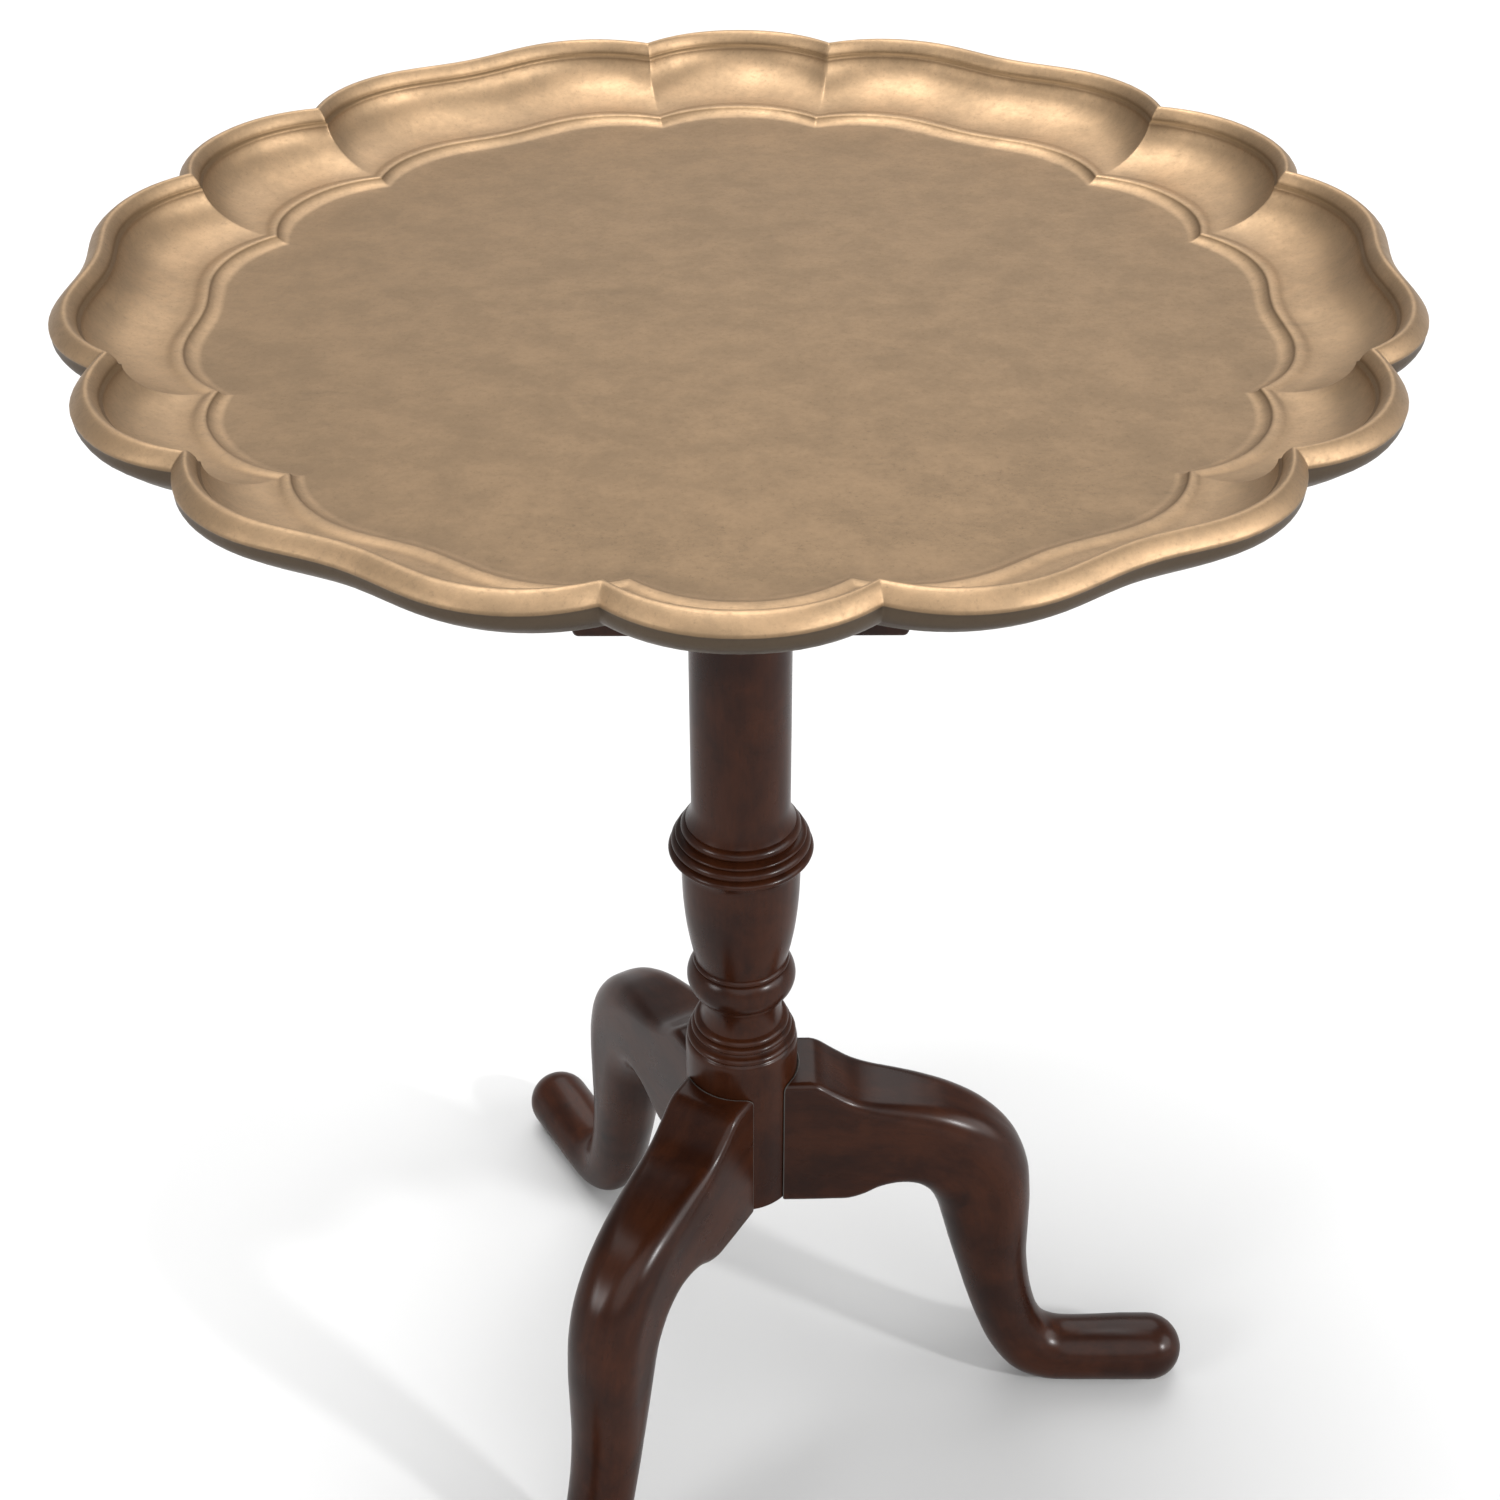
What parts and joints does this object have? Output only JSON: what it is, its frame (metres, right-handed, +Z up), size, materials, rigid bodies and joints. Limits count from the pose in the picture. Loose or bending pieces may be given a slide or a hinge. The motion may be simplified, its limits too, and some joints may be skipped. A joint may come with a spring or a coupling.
{
  "type": "tilt-top tripod table",
  "caption": "Small tilt-top tripod table: scalloped brass tray on two bearers, turned dark wood pedestal and cabriole legs, with a pivoting top and a sliding catch.",
  "frame": {"origin": "on the floor under the pedestal's axis, which is the bottom centre of the whole table", "axes": "+Z up along the pedestal; +X along one leg, and along the pivot pins; -Y is the front, where the catch is"},
  "size_m": [0.5174, 0.5274, 0.66],
  "materials": {
    "tray_brass": "satin, lightly clouded patina",
    "fitting_brass": "satin",
    "mahogany": "gloss varnish",
    "steel": "dull",
    "felt": "matt felt"
  },
  "bodies": {
    "base": {"column": "mahogany", "tenon_wedge": "mahogany", "leg_1": "mahogany", "leg_2": "mahogany", "leg_3": "mahogany", "foot_pad_1": "felt", "foot_pad_2": "felt", "foot_pad_3": "felt", "base_plate": "steel", "base_plate_screw_1": "steel", "base_plate_screw_2": "steel", "base_plate_screw_3": "steel", "top_block": "mahogany", "pivot_pin_left": "steel", "pivot_pin_right": "steel", "pivot_washer_left": "steel", "pivot_washer_right": "steel", "strike_plate": "fitting_brass", "strike_screw_left": "fitting_brass", "strike_screw_right": "fitting_brass"},
    "top": {"tray": "tray_brass", "bearer_left": "mahogany", "bearer_right": "mahogany", "tray_screw_1": "steel", "tray_screw_2": "steel", "tray_screw_3": "steel", "tray_screw_4": "steel", "tray_screw_5": "steel", "tray_screw_6": "steel", "catch_cleat": "mahogany", "cleat_screw_left": "steel", "cleat_screw_right": "steel", "catch_case": "fitting_brass", "case_screw_left": "fitting_brass", "case_screw_right": "fitting_brass"},
    "catch": {"catch_bolt": "fitting_brass", "catch_knob": "fitting_brass"}
  },
  "joints": [
    {"name": "top_tilt", "type": "hinge", "parent": "base", "child": "top", "pos_m": [0, 0.05, 0.621], "axis": [-1, 0, 0], "range_deg": [0, 90]},
    {"name": "catch_slide", "type": "slide", "parent": "top", "child": "catch", "axis": [0, 1, 0], "range_m": [0, 0.009]}
  ]
}
